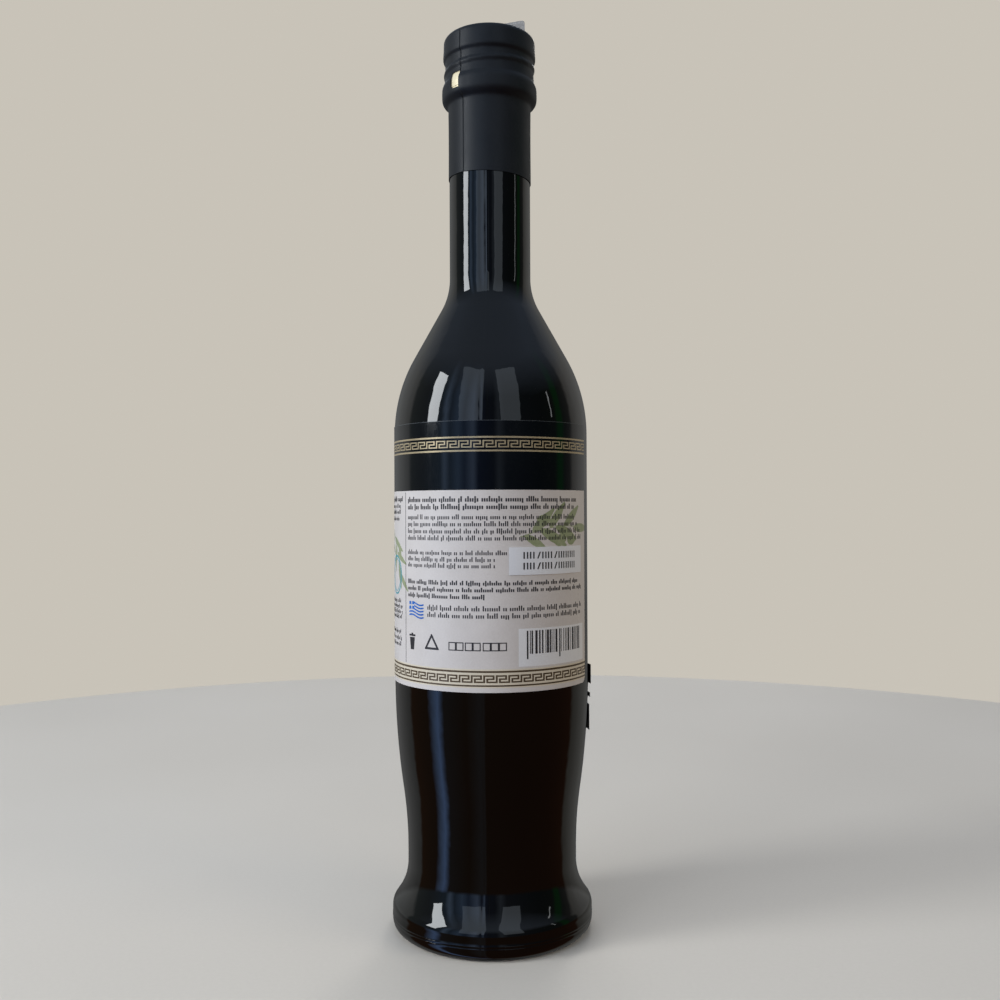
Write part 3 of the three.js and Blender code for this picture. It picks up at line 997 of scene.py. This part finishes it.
room = (   # azimuth from the camera's side to the right, and the light that comes from there
    (-180, (0.09, 0.095, 0.10)), (-164, (0.14, 0.145, 0.15)), (-148, (0.29, 0.30, 0.30)),
    (-126, (0.42, 0.43, 0.43)), (-112, (0.40, 0.41, 0.41)), (-107, (0.13, 0.15, 0.16)),
    (-86, (0.10, 0.12, 0.15)), (-60, (0.12, 0.19, 0.30)), (-55, (0.50, 0.72, 1.10)),
    (-48, (0.12, 0.19, 0.32)), (-38, (0.28, 0.44, 0.74)), (-30, (0.10, 0.16, 0.32)),
    (-20, (0.42, 0.58, 0.92)), (-14, (0.04, 0.06, 0.15)), (4, (0.03, 0.04, 0.08)),
    (10, (0.18, 0.22, 0.29)), (18, (0.04, 0.05, 0.08)), (60, (0.02, 0.03, 0.04)),
    (82, (0.03, 0.04, 0.04)), (86, (0.02, 0.13, 0.04)), (92, (0.02, 0.13, 0.04)),
    (96, (0.05, 0.06, 0.06)), (107, (0.09, 0.09, 0.09)), (112, (0.36, 0.35, 0.33)),
    (126, (0.40, 0.395, 0.38)), (148, (0.28, 0.28, 0.27)), (164, (0.14, 0.14, 0.14)),
    (180, (0.09, 0.095, 0.10)),
)
lowRoom = (   # the same from below the horizon
    (-180, (0.06, 0.06, 0.06)), (-164, (0.10, 0.10, 0.10)), (-148, (0.19, 0.19, 0.19)),
    (-126, (0.23, 0.23, 0.23)), (-112, (0.21, 0.21, 0.21)), (-108, (0.085, 0.034, 0.018)),
    (-80, (0.08, 0.032, 0.018)), (-72, (0.36, 0.54, 0.98)), (-66, (0.56, 0.90, 1.75)),
    (-58, (0.09, 0.07, 0.08)), (-30, (0.075, 0.030, 0.018)), (-14, (0.12, 0.10, 0.11)),
    (-6, (0.075, 0.029, 0.016)), (84, (0.075, 0.029, 0.016)), (107, (0.08, 0.032, 0.018)),
    (112, (0.20, 0.19, 0.17)), (126, (0.22, 0.215, 0.20)), (148, (0.18, 0.18, 0.17)),
    (164, (0.10, 0.10, 0.10)), (180, (0.06, 0.06, 0.06)),
)

lamps = (   # name, azimuth, distance, height of the middle, width, height, watts, colour, seen in reflections
    ("leftStrip", -71, 1.10, 0.63, 0.30, 0.70, 6.6, (0.93, 0.97, 1.0), True),
    ("leftFill", -55, 1.05, 0.50, 0.80, 0.80, 7.3, (0.96, 0.98, 1.0), False),
    ("rightFill", 62, 1.10, 0.45, 0.60, 0.80, 4.0, (1.0, 0.90, 0.74), False),
    ("leftPanel", -26, 0.90, 0.66, 0.42, 0.75, 0.72, (0.76, 0.88, 1.0), True),
    ("rightPanel", 24, 0.90, 0.66, 0.40, 0.75, 0.70, (0.80, 0.90, 1.0), True),
    ("rightLine", 75.5, 1.10, 0.55, 0.028, 0.32, 0.08, (0.95, 0.98, 1.0), True),
    ("backFill", 176, 1.20, 0.80, 0.90, 0.60, 4.5, (1.0, 0.99, 0.97), False),
    ("backStrip", 167, 1.10, 1.05, 0.20, 0.50, 2.0, (1.0, 1.0, 1.0), True),
    ("backPanel", -166, 1.10, 1.05, 0.36, 0.50, 0.9, (0.90, 0.95, 1.0), True),
)


def fillRamp(ramp, stops):
    while len(ramp.elements) > 1:
        ramp.elements.remove(ramp.elements[-1])
    ramp.elements[0].position = 0
    ramp.elements[0].color = (*stops[0][1], 1)
    for angle, colour in stops[1:]:
        ramp.elements.new((angle + 180) / 360).color = (*colour, 1)


def makeStage():
    clearSelection()
    bpy.ops.mesh.primitive_circle_add(vertices=stage["floorCorners"], radius=stage["floorRadius"],
                                      fill_type="NGON")
    floor = named(bpy.context.object, "floor")
    floor.data.materials.append(makeFinish("floorPaint", stage["floor"]))
    floor.visible_glossy = floor.visible_diffuse = False

    world = bpy.data.worlds.new("studio")
    bpy.context.scene.world = world
    world.use_nodes = True
    nodes, link = world.node_tree.nodes, world.node_tree.links.new
    background = nodes["Background"]
    place = nodes.new("ShaderNodeTexCoord")
    axes = nodes.new("ShaderNodeSeparateXYZ")
    flipped = nodes.new("ShaderNodeMath")
    azimuth = nodes.new("ShaderNodeMath")
    share = nodes.new("ShaderNodeMapRange")
    around = nodes.new("ShaderNodeValToRGB")
    below = nodes.new("ShaderNodeValToRGB")
    lower = nodes.new("ShaderNodeMapRange")
    upper = nodes.new("ShaderNodeMapRange")
    sides = nodes.new("ShaderNodeMix")
    ceiling = nodes.new("ShaderNodeMix")
    seen = nodes.new("ShaderNodeLightPath")
    shown = nodes.new("ShaderNodeMix")
    flipped.operation = "MULTIPLY"
    flipped.inputs[1].default_value = -1
    azimuth.operation = "ARCTAN2"
    share.inputs["From Min"].default_value = -math.pi
    share.inputs["From Max"].default_value = math.pi
    fillRamp(around.color_ramp, room)
    fillRamp(below.color_ramp, lowRoom)
    for fade, ends in ((lower, stage["lowFade"]), (upper, stage["highFade"])):
        fade.inputs["From Min"].default_value, fade.inputs["From Max"].default_value = ends
    for node in (sides, ceiling, shown):
        node.data_type = "RGBA"
    ceiling.inputs[7].default_value = (*stage["ceiling"], 1)
    shown.inputs[7].default_value = (*stage["sky"], 1)
    link(place.outputs["Generated"], axes.inputs[0])
    link(axes.outputs["Y"], flipped.inputs[0])
    link(axes.outputs["X"], azimuth.inputs[0])
    link(flipped.outputs[0], azimuth.inputs[1])
    link(azimuth.outputs[0], share.inputs["Value"])
    link(share.outputs[0], around.inputs["Fac"])
    link(share.outputs[0], below.inputs["Fac"])
    link(below.outputs["Color"], sides.inputs[7])
    link(axes.outputs["Z"], lower.inputs["Value"])
    link(axes.outputs["Z"], upper.inputs["Value"])
    link(lower.outputs[0], sides.inputs[0])
    link(around.outputs["Color"], sides.inputs[6])
    link(upper.outputs[0], ceiling.inputs[0])
    link(sides.outputs[2], ceiling.inputs[6])
    link(seen.outputs["Is Camera Ray"], shown.inputs[0])
    link(ceiling.outputs[2], shown.inputs[6])
    link(shown.outputs[2], background.inputs["Color"])

    for name, turn, away, high, wide, tall, watts, colour, reflected in lamps:
        a = math.radians(turn)
        spot = Vector((away * math.sin(a), -away * math.cos(a), high))
        bpy.ops.object.light_add(type="AREA", location=spot)
        lamp = named(bpy.context.object, name)
        lamp.rotation_euler = (Vector(stage["lampAim"]) - spot).to_track_quat("-Z", "Y").to_euler()
        lamp.data.shape = "RECTANGLE"
        lamp.data.size, lamp.data.size_y = wide, tall
        lamp.data.energy = watts
        lamp.data.color = colour
        lamp.visible_glossy = reflected
        lamp.visible_camera = False
    print("stage and lamps set")


makeStage()
bpy.context.scene.view_settings.view_transform = "Standard"

view = {"place": (3.12, -364.6, 142.2), "tilt": 0.6, "roll": 0.225, "lens": 37.8, "sensor": 36}
bpy.ops.object.camera_add(location=[c * mm for c in view["place"]],
                          rotation=(math.radians(90 + view["tilt"]), math.radians(view["roll"]), 0))
camera = bpy.context.object
camera.data.lens = view["lens"]
camera.data.sensor_width = view["sensor"]
camera.data.clip_start = 0.01
bpy.context.scene.camera = camera
clearSelection()
